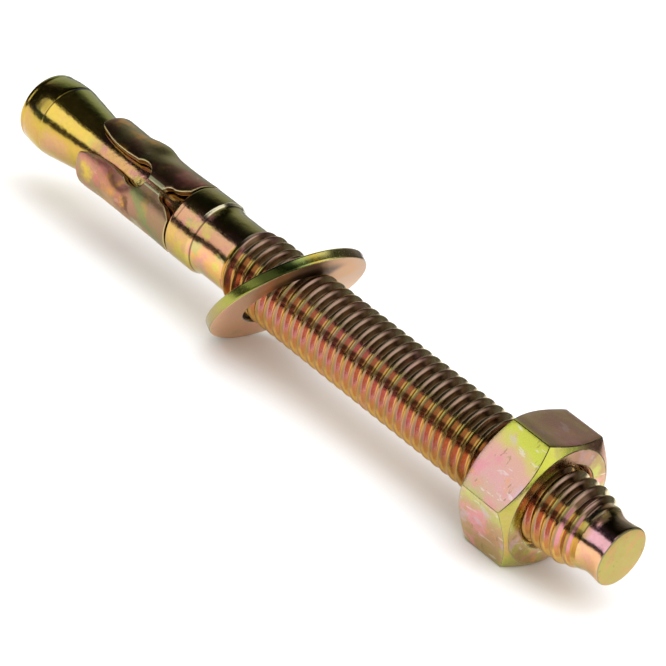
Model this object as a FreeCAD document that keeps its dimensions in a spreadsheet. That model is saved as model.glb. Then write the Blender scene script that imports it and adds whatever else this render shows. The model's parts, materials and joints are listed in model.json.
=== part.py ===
import FreeCAD, Part
import math
import os
import re
import Sketcher

# Wedge anchor, M10: a stud with a cone, a clip wrapped round its neck, a loose washer and a nut.
# Every piece is drawn along its own X axis, which points from the cone to the struck end.

# Driving sizes in millimetres and degrees
sizes = {
    "land_diameter": 9.85,          # widest part of the cone, at the hole end
    "land_length": 4.4,
    "land_edge_round": 0.9,
    "land_to_taper_round": 4.0,
    "taper_length": 8.0,
    "taper_to_neck_round": 3.0,
    "neck_diameter": 7.3,           # the clip turns here
    "neck_length": 17.0,
    "collar_diameter": 9.8,
    "collar_length": 3.9,
    "collar_edge_chamfer": 0.3,
    "collar_runout": 1.1,           # slope from the collar to the shank
    "shank_diameter": 8.8,          # rolling blank under the thread
    "shank_length": 4.6,
    "thread_diameter": 9.85,        # M10, over the crests
    "thread_lead_in": 0.5,
    "thread_length": 56.8,
    "runout_length": 3.6,           # slope from the thread to the waist of the point
    "waist_diameter": 7.14,
    "waist_round": 2.5,
    "dog_length": 2.6,
    "dog_diameter": 7.46,
    "dog_edge_chamfer": 0.35,
    "clip_thickness": 0.9,          # stamped strip
    "clip_clearance": 0.25,         # neck to clip, on the radius
    "clip_end_gap": 0.25,           # clip to collar
    "clip_tongue_lap": 0.4,         # tongues reach this far up the taper
    "clip_flare": 0.1,              # rear edge stands out from the ring
    "clip_flare_length": 4.0,
    "clip_segments": 3,
    "clip_lobe_length": 3.1,
    "clip_lobe_slot": 2.3,
    "clip_lobe_round": 1.0,
    "clip_bridge_width": 2.8,
    "clip_bulb_diameter": 3.9,
    "clip_tongue_slot": 2.64,
    "clip_tongue_round": 1.6,
    "clip_seam": 0.4,
    "bump_from_rear": 9.15,
    "bump_length": 5.8,
    "bump_height": 0.45,            # over the ring
    "bump_root": 0.12,              # its ends lie this far inside the ring
    "bump_swing": 2.7,              # radius of the bump across the clip
    "bump_turn": 12.0,              # bumps sit this far off the middle of a segment
    "clip_roll": 55.7,              # seam, turned from straight up
    "nut_across_flats": 15.75,
    "nut_thickness": 7.65,
    "nut_face_diameter": 14.8,
    "nut_chamfer_angle": 30.0,
    "nut_clearance": 0.05,          # thread to bore, on the radius
    "nut_countersink": 0.5,
    "nut_from_end": 10.0,           # struck end to the near face of the nut
    "washer_diameter": 20.1,
    "washer_thickness": 1.4,
    "washer_bore_chamfer": 0.3,
    "washer_rim_chamfer": 0.15,
    "washer_clearance": 0.06,       # thread to the slanted bore, on the radius
    "washer_tilt": 31.4,            # slant as it hangs hooked in the thread
    "washer_from_end": 55.8,        # struck end to the middle of the washer
}

doc = FreeCAD.newDocument("wedge_anchor")
sheet = doc.addObject("Spreadsheet::Sheet", "Sizes")
for row, (name, number) in enumerate(sizes.items(), 1):
    sheet.set(f"A{row}", name)
    sheet.set(f"B{row}", str(number))
    sheet.setAlias(f"B{row}", name)
doc.recompute()


# A measure is a sum of named sizes in words, such as "neck_length - clip_end_gap" or "neck_diameter / 2"
def read(measure):
    total = 0.0
    for term in measure.replace("- ", "+ -").split("+ "):
        name, _, divisor = term.strip().lstrip("-").partition(" / ")
        sign = -1 if term.strip().startswith("-") else 1
        total += sign * sheet.get(name) / float(divisor or 1)
    return total


def formula(measure):
    return re.sub(r"\b(" + "|".join(sizes) + r")\b", r"Sizes.\1", measure)


def bind(feature, **measures):
    for field, measure in measures.items():
        feature.setExpression(field, formula(measure))


def origin_part(body, role):
    return next(part for part in body.Origin.OriginFeatures if part.Role == role)


def new_body(label):
    body = doc.addObject("PartDesign::Body", label)
    body.Label = label
    return body


def new_sketch(body, name, plane="XY_Plane"):
    sketch = body.newObject("Sketcher::SketchObject", name)
    sketch.AttachmentSupport = [(origin_part(body, plane), "")]
    sketch.MapMode = "FlatFace"
    return sketch


# Start, end and middle points as the sketcher numbers them
start, end, centre = 1, 2, 3
sketch_origin = (-1, 1)
sketch_axis = -1
near = 0.01                         # what lies closer than this is in the same place


def point_of(sketch, place):
    if place == sketch_origin:
        return FreeCAD.Vector()
    line, where = place
    return sketch.getPoint(line, where)


# Signed distance from one point to another, held at a measure
def hold(sketch, kind, first, second, measure):
    gap = point_of(sketch, second) - point_of(sketch, first)
    now = gap.x if kind == "DistanceX" else gap.y
    if now < 0:
        first, second, now = second, first, -now
    index = sketch.addConstraint(Sketcher.Constraint(kind, *first, *second, now))
    sketch.setExpression(f"Constraints[{index}]", formula(measure))


def closed_outline(sketch, corners):
    lines = []
    for here, there in zip(corners, corners[1:] + corners[:1]):
        lines.append(sketch.addGeometry(Part.LineSegment(FreeCAD.Vector(*here), FreeCAD.Vector(*there))))
    for line, following in zip(lines, lines[1:] + lines[:1]):
        sketch.addConstraint(Sketcher.Constraint("Coincident", line, end, following, start))
    return lines


# Half section of a turned solid: a first radius, then steps of length and radius, back to the axis.
# A step without a length is a shoulder.
def turned_profile(sketch, first_radius, steps):
    station = 0.0
    corners = [(0, 0, 0), (0, read(first_radius), 0)]
    for length, radius in steps:
        station += read(length) if length else 0.0
        corners.append((station, read(radius), 0))
    corners.append((station, 0, 0))
    lines = closed_outline(sketch, corners)
    sketch.addConstraint(Sketcher.Constraint("Coincident", lines[0], start, *sketch_origin))
    sketch.addConstraint(Sketcher.Constraint("Vertical", lines[0]))
    hold(sketch, "DistanceY", sketch_origin, (lines[0], end), first_radius)
    for line, (length, radius) in zip(lines[1:], steps):
        hold(sketch, "DistanceY", sketch_origin, (line, end), radius)
        if length:
            hold(sketch, "DistanceX", (line, start), (line, end), length)
        else:
            sketch.addConstraint(Sketcher.Constraint("Vertical", line))
    sketch.addConstraint(Sketcher.Constraint("Vertical", lines[-2]))
    sketch.addConstraint(Sketcher.Constraint("PointOnObject", lines[-2], end, sketch_axis))


def revolve(body, sketch, kind="PartDesign::Revolution"):
    turned = body.newObject(kind, sketch.Name + "_turned")
    turned.Profile = sketch
    turned.ReferenceAxis = (sketch, ["H_Axis"])
    turned.Angle = 360
    doc.recompute()
    return turned


# Names of the edges of a feature that a test picks
def edges_where(feature, test):
    return [f"Edge{number}" for number, edge in enumerate(feature.Shape.Edges, 1) if test(edge)]


def is_rim(edge, station, radius):
    if not isinstance(edge.Curve, Part.Circle):
        return False
    return abs(edge.Curve.Center.x - station) < near and abs(edge.Curve.Radius - radius) < near


def round_edges(body, feature, test, radius):
    rounded = body.newObject("PartDesign::Fillet", "Round")
    rounded.Base = (feature, edges_where(feature, test))
    bind(rounded, Radius=radius)
    doc.recompute()
    return rounded


def break_edges(body, feature, test, width):
    broken = body.newObject("PartDesign::Chamfer", "Chamfer")
    broken.Base = (feature, edges_where(feature, test))
    bind(broken, Size=width)
    doc.recompute()
    return broken


def repeat_round_axis(body, features, count):
    pattern = body.newObject("PartDesign::PolarPattern", features[0].Name + "_round")
    pattern.Originals = features
    pattern.Axis = (origin_part(body, "X_Axis"), [""])
    pattern.Angle = 360
    pattern.setExpression("Occurrences", formula(count))
    body.Tip = pattern
    doc.recompute()
    return pattern


# Stations along the stud, from the hole end
def station_after(*lengths):
    return sum(read(length) for length in lengths)


to_land = ["land_length"]
to_neck = to_land + ["taper_length"]
to_collar = to_neck + ["neck_length"]
to_collar_end = to_collar + ["collar_length"]
to_shank = to_collar_end + ["collar_runout"]
to_thread = to_shank + ["shank_length"]
to_thread_end = to_thread + ["thread_length"]
to_waist = to_thread_end + ["runout_length"]
to_end = to_waist + ["dog_length"]


def make_stud():
    body = new_body("anchor_stud")
    section = new_sketch(body, "stud_section")
    turned_profile(section, "land_diameter / 2", [
        ("land_length", "land_diameter / 2"),
        ("taper_length", "neck_diameter / 2"),
        ("neck_length", "neck_diameter / 2"),
        (None, "collar_diameter / 2"),
        ("collar_length", "collar_diameter / 2"),
        ("collar_runout", "shank_diameter / 2"),
        ("shank_length", "shank_diameter / 2"),
        ("thread_lead_in", "thread_diameter / 2"),
        ("thread_length - thread_lead_in", "thread_diameter / 2"),
        ("runout_length", "waist_diameter / 2"),
        ("dog_length", "dog_diameter / 2"),
    ])
    shape = revolve(body, section)
    rims = [
        ([], "land_diameter / 2", round_edges, "land_edge_round"),
        (to_land, "land_diameter / 2", round_edges, "land_to_taper_round"),
        (to_neck, "neck_diameter / 2", round_edges, "taper_to_neck_round"),
        (to_collar, "collar_diameter / 2", break_edges, "collar_edge_chamfer"),
        (to_collar_end, "collar_diameter / 2", break_edges, "collar_edge_chamfer"),
        (to_waist, "waist_diameter / 2", round_edges, "waist_round"),
        (to_end, "dog_diameter / 2", break_edges, "dog_edge_chamfer"),
    ]
    for lengths, radius, finish, width in rims:
        place = station_after(*lengths)
        shape = finish(body, shape, lambda edge: is_rim(edge, place, read(radius)), width)
    return body


# The clip's own origin is at its rear end, so its X runs from minus its length to zero
def make_clip():
    body = new_body("expansion_clip")
    length = "neck_length + clip_tongue_lap - clip_end_gap"
    inside = "neck_diameter / 2 + clip_clearance"
    outside = inside + " + clip_thickness"
    front = -read(length)

    # The outside is turned first, then the bumps are added, and the inside is turned out last
    flared_section(body, "clip_outside", length, outside, "PartDesign::Revolution")
    bump = new_sketch(body, "bump", "XZ_Plane")
    draw_bump(bump, outside)
    bump.AttachmentOffset = FreeCAD.Placement(FreeCAD.Vector(), FreeCAD.Rotation(
        FreeCAD.Vector(1, 0, 0), 180.0 / read("clip_segments") - read("bump_turn")))
    swung = body.newObject("PartDesign::Revolution", "bump_swung")
    swung.Profile = bump
    swung.ReferenceAxis = (bump, ["Axis0"])
    swung.Angle = 360
    doc.recompute()
    repeat_round_axis(body, [swung], "clip_segments")
    flared_section(body, "clip_inside", length, inside, "PartDesign::Groove")

    tongue_slot = new_sketch(body, "tongue_slot")
    draw_tongue_slot(tongue_slot, length)
    repeat_round_axis(body, [cut_outwards(body, tongue_slot, outside)], "clip_segments")
    lobe_slot = new_sketch(body, "lobe_slot")
    draw_slot(lobe_slot, "clip_lobe_slot", "clip_lobe_length", "clip_lobe_round", 1)
    repeat_round_axis(body, [cut_outwards(body, lobe_slot, outside)], "clip_segments")
    seam = new_sketch(body, "seam")
    through_bridge = "clip_lobe_length + clip_bridge_width + clip_seam"
    draw_slot(seam, "clip_seam", through_bridge, "clip_lobe_length / 2", -1)
    tip = cut_outwards(body, seam, outside)

    def is_mouth(edge, station):
        level = all(abs(vertex.Point.x - station) < near for vertex in edge.Vertexes)
        return level and isinstance(edge.Curve, Part.Line)

    tip = round_edges(body, tip, lambda edge: is_mouth(edge, front), "clip_tongue_round")
    round_edges(body, tip, lambda edge: is_mouth(edge, 0), "clip_lobe_round")
    return body


# Turned form of the clip's full length whose rear end is flared. It is drawn upwards, so that its
# surface closes where the seam is cut.
def flared_section(body, name, length, radius, kind):
    section = new_sketch(body, name, "XZ_Plane")
    front, bend = -read(length), -read("clip_flare_length")
    lines = closed_outline(section, [
        (front, 0, 0),
        (front, read(radius), 0),
        (bend, read(radius), 0),
        (0, read(radius + " + clip_flare"), 0),
        (0, 0, 0),
    ])
    for line in (lines[0], lines[3]):
        section.addConstraint(Sketcher.Constraint("Vertical", line))
    section.addConstraint(Sketcher.Constraint("Horizontal", lines[1]))
    section.addConstraint(Sketcher.Constraint("Coincident", lines[3], end, *sketch_origin))
    section.addConstraint(Sketcher.Constraint("PointOnObject", lines[0], start, sketch_axis))
    hold(section, "DistanceX", (lines[0], start), sketch_origin, length)
    hold(section, "DistanceX", (lines[1], end), sketch_origin, "clip_flare_length")
    hold(section, "DistanceY", sketch_origin, (lines[0], end), radius)
    hold(section, "DistanceY", sketch_origin, (lines[2], end), radius + " + clip_flare")
    return revolve(body, section, kind)


# A shallow arch along the clip, to be swung round the line under it
def draw_bump(sketch, outside):
    ends = outside + " - bump_root"
    swing = outside + " + bump_height - bump_swing"
    middle, half = -read("bump_from_rear"), read("bump_length / 2")
    rise = read("bump_height + bump_root")
    foot, low = read(ends), read(swing)
    rear, front = (middle + half, foot, 0), (middle - half, foot, 0)
    corners = [front, (middle - half, low, 0), (middle + half, low, 0), rear]
    sides = [sketch.addGeometry(Part.LineSegment(FreeCAD.Vector(*here), FreeCAD.Vector(*there)))
             for here, there in zip(corners, corners[1:])]
    top = FreeCAD.Vector(middle, foot + rise, 0)
    arch = sketch.addGeometry(Part.Arc(FreeCAD.Vector(*rear), top, FreeCAD.Vector(*front)))
    swing_line = Part.LineSegment(FreeCAD.Vector(*corners[1]), FreeCAD.Vector(*corners[2]))
    line = sketch.addGeometry(swing_line, True)
    for side, following in ((sides[0], sides[1]), (sides[1], sides[2]), (sides[2], arch), (arch, sides[0])):
        sketch.addConstraint(Sketcher.Constraint("Coincident", side, end, following, start))
    for where in (start, end):
        sketch.addConstraint(Sketcher.Constraint("Coincident", line, where, sides[1], where))
    for side in (sides[0], sides[2]):
        sketch.addConstraint(Sketcher.Constraint("Vertical", side))
    sketch.addConstraint(Sketcher.Constraint("Horizontal", sides[1]))
    hold(sketch, "DistanceX", (sides[1], start), (sides[1], end), "bump_length")
    hold(sketch, "DistanceX", (sides[1], end), sketch_origin, "bump_from_rear - bump_length / 2")
    hold(sketch, "DistanceY", sketch_origin, (sides[1], start), swing)
    hold(sketch, "DistanceY", sketch_origin, (sides[2], end), ends)
    hold(sketch, "DistanceY", sketch_origin, (sides[0], start), ends)
    radius = sketch.addConstraint(Sketcher.Constraint("Radius", arch, (half ** 2 + rise ** 2) / (2 * rise)))
    sketch.setExpression(f"Constraints[{radius}]", formula(
        "(bump_length * bump_length / 4 + (bump_height + bump_root) * (bump_height + bump_root))"
        " / (2 * (bump_height + bump_root))"))


# Slots are drawn on the clip's middle plane and cut straight out through the wall above it
def cut_outwards(body, outline, outside):
    slot = body.newObject("PartDesign::Pocket", outline.Name + "_cut")
    slot.Profile = outline
    slot.Reversed = True
    bind(slot, Length=outside + " + bump_height + clip_flare")
    doc.recompute()
    return slot


# Rectangle on the X axis, from a front end to a rear end that lies behind the clip (1) or within it (-1)
def draw_slot(sketch, width, front, rear, rear_side):
    half = read(width) / 2
    from_x, to_x = -read(front), rear_side * read(rear)
    lines = closed_outline(sketch, [
        (from_x, -half, 0), (to_x, -half, 0), (to_x, half, 0), (from_x, half, 0)])
    for line in (lines[0], lines[2]):
        sketch.addConstraint(Sketcher.Constraint("Horizontal", line))
    for line in (lines[1], lines[3]):
        sketch.addConstraint(Sketcher.Constraint("Vertical", line))
    hold(sketch, "DistanceY", (lines[1], start), (lines[1], end), width)
    hold(sketch, "DistanceY", sketch_origin, (lines[1], end), width + " / 2")
    hold(sketch, "DistanceX", (lines[1], start), sketch_origin, rear)
    hold(sketch, "DistanceX", (lines[0], start), sketch_origin, front)


# Parallel slot between two tongues that ends in a round bulb at the bridge
def draw_tongue_slot(sketch, clip_length):
    bulb_middle = "clip_lobe_length + clip_bridge_width + clip_bulb_diameter / 2"
    mouth = clip_length + " + clip_tongue_round"
    radius = read("clip_bulb_diameter / 2")
    half = read("clip_tongue_slot / 2")
    opening = math.asin(half / radius)
    bulb_x = -read(bulb_middle)
    throat_x = bulb_x - radius * math.cos(opening)
    mouth_x = -read(mouth)
    circle = Part.Circle(FreeCAD.Vector(bulb_x, 0, 0), FreeCAD.Vector(0, 0, 1), radius)
    bulb = sketch.addGeometry(Part.ArcOfCircle(circle, math.pi + opening, 3 * math.pi - opening))
    corners = [(throat_x, half, 0), (mouth_x, half, 0), (mouth_x, -half, 0), (throat_x, -half, 0)]
    sides = [sketch.addGeometry(Part.LineSegment(FreeCAD.Vector(*here), FreeCAD.Vector(*there)))
             for here, there in zip(corners, corners[1:])]
    for side, following in ((bulb, sides[0]), (sides[0], sides[1]), (sides[1], sides[2]), (sides[2], bulb)):
        sketch.addConstraint(Sketcher.Constraint("Coincident", side, end, following, start))
    for side in (sides[0], sides[2]):
        sketch.addConstraint(Sketcher.Constraint("Horizontal", side))
    sketch.addConstraint(Sketcher.Constraint("Vertical", sides[1]))
    sketch.addConstraint(Sketcher.Constraint("PointOnObject", bulb, centre, sketch_axis))
    hold(sketch, "DistanceX", (bulb, centre), sketch_origin, bulb_middle)
    hold(sketch, "DistanceX", (sides[1], start), sketch_origin, mouth)
    hold(sketch, "DistanceY", (sides[1], end), (sides[1], start), "clip_tongue_slot")
    hold(sketch, "DistanceY", sketch_origin, (sides[0], start), "clip_tongue_slot / 2")
    width = sketch.addConstraint(Sketcher.Constraint("Diameter", bulb, 2 * radius))
    sketch.setExpression(f"Constraints[{width}]", formula("clip_bulb_diameter"))


def make_nut():
    body = new_body("hex_nut")
    blank = body.newObject("PartDesign::AdditivePrism", "hexagon")
    blank.AttachmentSupport = [(origin_part(body, "YZ_Plane"), "")]
    blank.MapMode = "FlatFace"
    blank.Polygon = 6
    bind(blank, Circumradius="nut_across_flats / 2 / cos(30)", Height="nut_thickness")
    doc.recompute()

    # Corner chamfers: one triangle outside each face circle, swung round the axis
    chamfers = new_sketch(body, "corner_chamfers")
    slope = math.tan(math.radians(read("nut_chamfer_angle")))
    face_radius, outer = read("nut_face_diameter / 2"), read("nut_across_flats")
    thickness = read("nut_thickness")
    reach = (outer - face_radius) * slope
    for face, side in ((0, 1), (thickness, -1)):
        foot, top, tip = (face, face_radius, 0), (face, outer, 0), (face + side * reach, outer, 0)
        lines = closed_outline(chamfers, [foot, top, tip])
        chamfers.addConstraint(Sketcher.Constraint("Vertical", lines[0]))
        chamfers.addConstraint(Sketcher.Constraint("Horizontal", lines[1]))
        if face:
            hold(chamfers, "DistanceX", sketch_origin, (lines[0], start), "nut_thickness")
        else:
            chamfers.addConstraint(Sketcher.Constraint("PointOnObject", lines[0], start, -2))
        hold(chamfers, "DistanceY", sketch_origin, (lines[0], start), "nut_face_diameter / 2")
        hold(chamfers, "DistanceY", sketch_origin, (lines[0], end), "nut_across_flats")
        hold(chamfers, "DistanceX", (lines[1], start), (lines[1], end),
             "(nut_across_flats - nut_face_diameter / 2) * tan(nut_chamfer_angle)")
    revolve(body, chamfers, "PartDesign::Groove")

    bore = new_sketch(body, "bore")
    wall = "thread_diameter / 2 + nut_clearance"
    turned_profile(bore, wall + " + nut_countersink", [
        ("nut_countersink", wall),
        ("nut_thickness - nut_countersink - nut_countersink", wall),
        ("nut_countersink", wall + " + nut_countersink"),
    ])
    revolve(body, bore, "PartDesign::Groove")
    return body


# The bore is as wide as the slant needs: the inner corners of its chamfers clear the thread
def make_washer():
    body = new_body("washer")
    tilt = math.radians(read("washer_tilt"))
    reach = read("thread_diameter / 2 + washer_clearance")
    rise = read("washer_thickness / 2 - washer_bore_chamfer") * math.sin(tilt)
    bore_radius = (reach + rise) / math.cos(tilt)
    half, rim = read("washer_thickness / 2"), read("washer_diameter / 2")

    section = new_sketch(body, "washer_section")
    lines = closed_outline(section, [
        (-half, bore_radius, 0), (half, bore_radius, 0), (half, rim, 0), (-half, rim, 0)])
    for line in (lines[0], lines[2]):
        section.addConstraint(Sketcher.Constraint("Horizontal", line))
    for line in (lines[1], lines[3]):
        section.addConstraint(Sketcher.Constraint("Vertical", line))
    hold(section, "DistanceX", (lines[0], start), (lines[0], end), "washer_thickness")
    hold(section, "DistanceX", sketch_origin, (lines[0], end), "washer_thickness / 2")
    hold(section, "DistanceY", sketch_origin, (lines[2], end), "washer_diameter / 2")
    hold(section, "DistanceY", sketch_origin, (lines[0], start),
         "(thread_diameter / 2 + washer_clearance"
         " + (washer_thickness / 2 - washer_bore_chamfer) * sin(washer_tilt)) / cos(washer_tilt)")
    ring = revolve(body, section)
    for radius, width in ((bore_radius, "washer_bore_chamfer"), (rim, "washer_rim_chamfer")):
        ring = break_edges(
            body, ring, lambda edge: is_rim(edge, half, radius) or is_rim(edge, -half, radius), width)
    return body


# At rest the stud lies on a flat of the nut and on the rim of the slanted washer, cone end a little up
def rest_pose():
    tilt = math.radians(read("washer_tilt"))
    rim, half = read("washer_diameter / 2"), read("washer_thickness / 2 - washer_rim_chamfer")
    total = station_after(*to_end)
    rim_drop = rim * math.cos(tilt) + half * math.sin(tilt)
    rim_x = total - read("washer_from_end") - rim * math.sin(tilt) + half * math.cos(tilt)
    nut_drop = read("nut_across_flats / 2")
    nut_x = total - read("nut_from_end")
    lean = math.degrees(math.atan2(rim_drop - nut_drop, nut_x - rim_x))
    return FreeCAD.Placement(FreeCAD.Vector(), FreeCAD.Rotation(FreeCAD.Vector(0, 1, 0), lean))


def along_stud(distance, axis=(1, 0, 0), turn=0.0):
    return FreeCAD.Placement(FreeCAD.Vector(distance, 0, 0), FreeCAD.Rotation(FreeCAD.Vector(*axis), turn))


stud = make_stud()
clip = make_clip()
washer = make_washer()
nut = make_nut()
doc.recompute()

total_length = station_after(*to_end)
places = {
    stud: along_stud(0),
    clip: along_stud(station_after(*to_collar) - read("clip_end_gap"), turn=read("clip_roll")),
    washer: along_stud(total_length - read("washer_from_end"), axis=(0, 1, 0), turn=read("washer_tilt")),
    nut: along_stud(total_length - read("nut_from_end") - read("nut_thickness")),
}
lying = rest_pose()
for body, place in places.items():
    body.Placement = lying.multiply(place)
doc.recompute()

# The row's origin is under the middle of the whole anchor, on the surface that it lies on
box = Part.makeCompound([body.Shape for body in places]).optimalBoundingBox()
shift = FreeCAD.Vector(-(box.XMin + box.XMax) / 2, -(box.YMin + box.YMax) / 2, -box.ZMin)
for body in places:
    body.Placement.Base = body.Placement.Base + shift
doc.recompute()

for item in doc.Objects:
    if "Invalid" in item.State or "Error" in item.State:
        raise RuntimeError(f"{item.Name} failed: {item.State}")

os.makedirs("parts", exist_ok=True)
for body in places:
    if body.Shape.isNull() or not body.Shape.isValid():
        raise RuntimeError(f"{body.Label} has no valid solid")
    body.Shape.exportStep(f"parts/{body.Label}.step")
    print(body.Label, "volume", round(body.Shape.Volume, 1), "solids", len(body.Shape.Solids))
heading = stud.Placement.Rotation.multVec(FreeCAD.Vector(1, 0, 0))
print("stud starts at", stud.Placement.Base, "and points along", heading)
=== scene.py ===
import bpy
import json
import math
from mathutils import Matrix, Vector, noise


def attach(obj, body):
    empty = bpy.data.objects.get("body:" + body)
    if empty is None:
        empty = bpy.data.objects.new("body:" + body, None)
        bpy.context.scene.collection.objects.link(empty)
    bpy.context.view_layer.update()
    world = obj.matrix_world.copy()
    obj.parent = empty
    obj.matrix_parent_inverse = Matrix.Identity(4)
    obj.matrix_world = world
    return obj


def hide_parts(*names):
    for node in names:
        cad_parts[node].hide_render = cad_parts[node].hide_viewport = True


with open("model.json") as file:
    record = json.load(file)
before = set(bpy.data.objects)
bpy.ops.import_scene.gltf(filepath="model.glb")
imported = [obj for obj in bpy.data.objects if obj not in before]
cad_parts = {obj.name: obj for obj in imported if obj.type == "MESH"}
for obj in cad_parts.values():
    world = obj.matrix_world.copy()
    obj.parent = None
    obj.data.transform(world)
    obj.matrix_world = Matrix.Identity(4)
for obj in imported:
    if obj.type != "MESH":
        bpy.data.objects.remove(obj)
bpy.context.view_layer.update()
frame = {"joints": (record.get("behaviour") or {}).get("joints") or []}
print("frame loaded")

# Pieces are drawn in millimetres along X, from the face of the cone, and put in place at the end.
# The stud's line comes from the joint of the clip.
studLine = {"clipMiddle": 20.6, "mm": 0.001, "weld": 0.0005}
clipTurn = next(joint for joint in frame["joints"] if joint["name"] == "clip_turn")
along = Vector(clipTurn["axis"])
studTurn = along.to_track_quat("X", "Z")
studStart = Vector(clipTurn["pos_m"]) - along * studLine["clipMiddle"] * studLine["mm"]
toRow = Matrix.Translation(studStart) @ studTurn.to_matrix().to_4x4() @ Matrix.Scale(studLine["mm"], 4)

# Directions across the stud: towards the viewer, and towards the lower left of the picture
viewSide = Vector((0, -0.8660, 0.5))
lowSide = Vector((0, -0.5, -0.8660))


def deselect():
    if bpy.context.object and bpy.context.object.mode != "OBJECT":
        bpy.ops.object.mode_set(mode="OBJECT")
    bpy.ops.object.select_all(action="DESELECT")


def editAll():
    bpy.ops.object.mode_set(mode="EDIT")
    bpy.ops.mesh.select_all(action="SELECT")


def leaveEdit():
    bpy.ops.object.mode_set(mode="OBJECT")


def named(name):
    piece = bpy.context.object
    piece.name = name
    piece.data.name = name
    return piece


# A plane merged to one point, which is then extruded from point to point
def drawLine(name, points):
    deselect()
    bpy.ops.mesh.primitive_plane_add(size=1)
    piece = named(name)
    editAll()
    bpy.ops.mesh.merge(type="CENTER")
    here = Vector(points[0])
    bpy.ops.transform.translate(value=here)
    for point in points[1:]:
        there = Vector(point)
        bpy.ops.mesh.extrude_vertices_move(TRANSFORM_OT_translate={"value": there - here})
        here = there
    leaveEdit()
    return piece


def arcPoints(middle, radius, fromDegrees, toDegrees, count):
    points = []
    for step in range(count + 1):
        angle = math.radians(fromDegrees + (toDegrees - fromDegrees) * step / count)
        points.append((middle[0] + radius * math.cos(angle), middle[1] + radius * math.sin(angle)))
    return points


# Value between the points of a line, each point a place and a value
def between(line, place):
    if place <= line[0][0]:
        return line[0][1]
    for (a, low), (b, high) in zip(line, line[1:]):
        if place <= b:
            return low + (high - low) * (place - a) / (b - a)
    return line[-1][1]


def easy(share):
    share = min(max(share, 0.0), 1.0)
    return share * share * (3 - 2 * share)


# The open ring that is selected grows from one station and radius to the next
def growRings(rings):
    for (x, radius), (nextX, nextRadius) in zip(rings, rings[1:]):
        bpy.ops.mesh.extrude_edges_move(TRANSFORM_OT_translate={"value": (nextX - x, 0, 0)})
        share = nextRadius / radius
        bpy.ops.transform.resize(value=(1, share, share), center_override=(0, 0, 0))


def finishPiece(piece, body, node, smoothAngle):
    deselect()
    piece.select_set(True)
    bpy.context.view_layer.objects.active = piece
    editAll()
    bpy.ops.mesh.remove_doubles(threshold=studLine["weld"])
    bpy.ops.mesh.normals_make_consistent(inside=False)
    leaveEdit()
    bpy.ops.object.shade_smooth_by_angle(angle=math.radians(smoothAngle))
    piece.data.transform(toRow)
    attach(piece, body)
    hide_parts(node)
    deselect()
    print(piece.name, "has", len(piece.data.polygons), "faces")


# Camera
camera = {
    "place": (256.29, -264.41, 152.66),     # from the face of the cone, in the stud's own frame
    "aim": (54.75, -0.07, -0.26),
    "up": (-0.51614, 0.09862, 0.85079),
    "lens": 170.67,
    "sensor": 36,
    "near": 0.01,
}


def addCamera():
    deselect()
    bpy.ops.object.camera_add(location=toRow @ Vector(camera["place"]))
    eye = bpy.context.object
    back = (Vector(camera["place"]) - Vector(camera["aim"])).normalized()
    right = Vector(camera["up"]).cross(back).normalized()
    up = back.cross(right)
    turn = Matrix((right, up, back)).transposed()
    eye.rotation_mode = "QUATERNION"
    eye.rotation_quaternion = studTurn @ turn.to_quaternion()
    eye.data.lens = camera["lens"]
    eye.data.sensor_width = camera["sensor"]
    eye.data.clip_start = camera["near"]
    bpy.context.scene.camera = eye


# Nodes of the materials
def addNode(tree, kind, inputs, **settings):
    made = tree.nodes.new("ShaderNode" + kind)
    for key, value in settings.items():
        setattr(made, key, value)
    for key, value in inputs.items():
        if isinstance(value, bpy.types.NodeSocket):
            tree.links.new(value, made.inputs[key])
        else:
            made.inputs[key].default_value = value
    return made.outputs[0]


def maths(tree, operation, *values):
    return addNode(tree, "Math", dict(enumerate(values)), operation=operation)


def lengthOf(tree, vector):
    return addNode(tree, "VectorMath", {0: vector}, operation="LENGTH").node.outputs["Value"]


def noiseAt(tree, point, scale, detail, roughness=0.5):
    inputs = {"Vector": point, "Scale": scale, "Detail": detail, "Roughness": roughness}
    return addNode(tree, "TexNoise", inputs)


def rangeOf(tree, value, fromLow, fromHigh, toLow, toHigh):
    inputs = {"Value": value, "From Min": fromLow, "From Max": fromHigh, "To Min": toLow, "To Max": toHigh}
    return addNode(tree, "MapRange", inputs, interpolation_type="SMOOTHSTEP")


def linear(colour):
    parts = [int(colour[place:place + 2], 16) / 255 for place in (1, 3, 5)]
    return [part / 12.92 if part <= 0.04045 else ((part + 0.055) / 1.055) ** 2.4 for part in parts] + [1.0]


# The colours of this node are its sockets 6 and 7, and the mixed one is its output 2
def mixColour(tree, factor, first, second, blend="MIX"):
    made = tree.nodes.new("ShaderNodeMix")
    made.data_type = "RGBA"
    made.blend_type = blend
    for socket, value in ((made.inputs[0], factor), (made.inputs[6], first), (made.inputs[7], second)):
        if isinstance(value, bpy.types.NodeSocket):
            tree.links.new(value, socket)
        else:
            socket.default_value = linear(value) if isinstance(value, str) else value
    return made.outputs[2]


def mixShader(tree, factor, first, second):
    made = tree.nodes.new("ShaderNodeMixShader")
    for socket, value in zip(made.inputs, (factor, first, second)):
        tree.links.new(value, socket)
    return made.outputs[0]


def colourRamp(tree, factor, stops):
    made = tree.nodes.new("ShaderNodeValToRGB")
    tree.links.new(factor, made.inputs[0])
    ramp = made.color_ramp
    while len(ramp.elements) < len(stops):
        ramp.elements.new(0.5)
    for element, (place, colour) in zip(ramp.elements, stops):
        element.position = place
        element.color = linear(colour)
    return made.outputs[0]


def newMaterial(name):
    material = bpy.data.materials.new(name)
    material.use_nodes = True
    material.node_tree.nodes.clear()
    return material, material.node_tree


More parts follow.
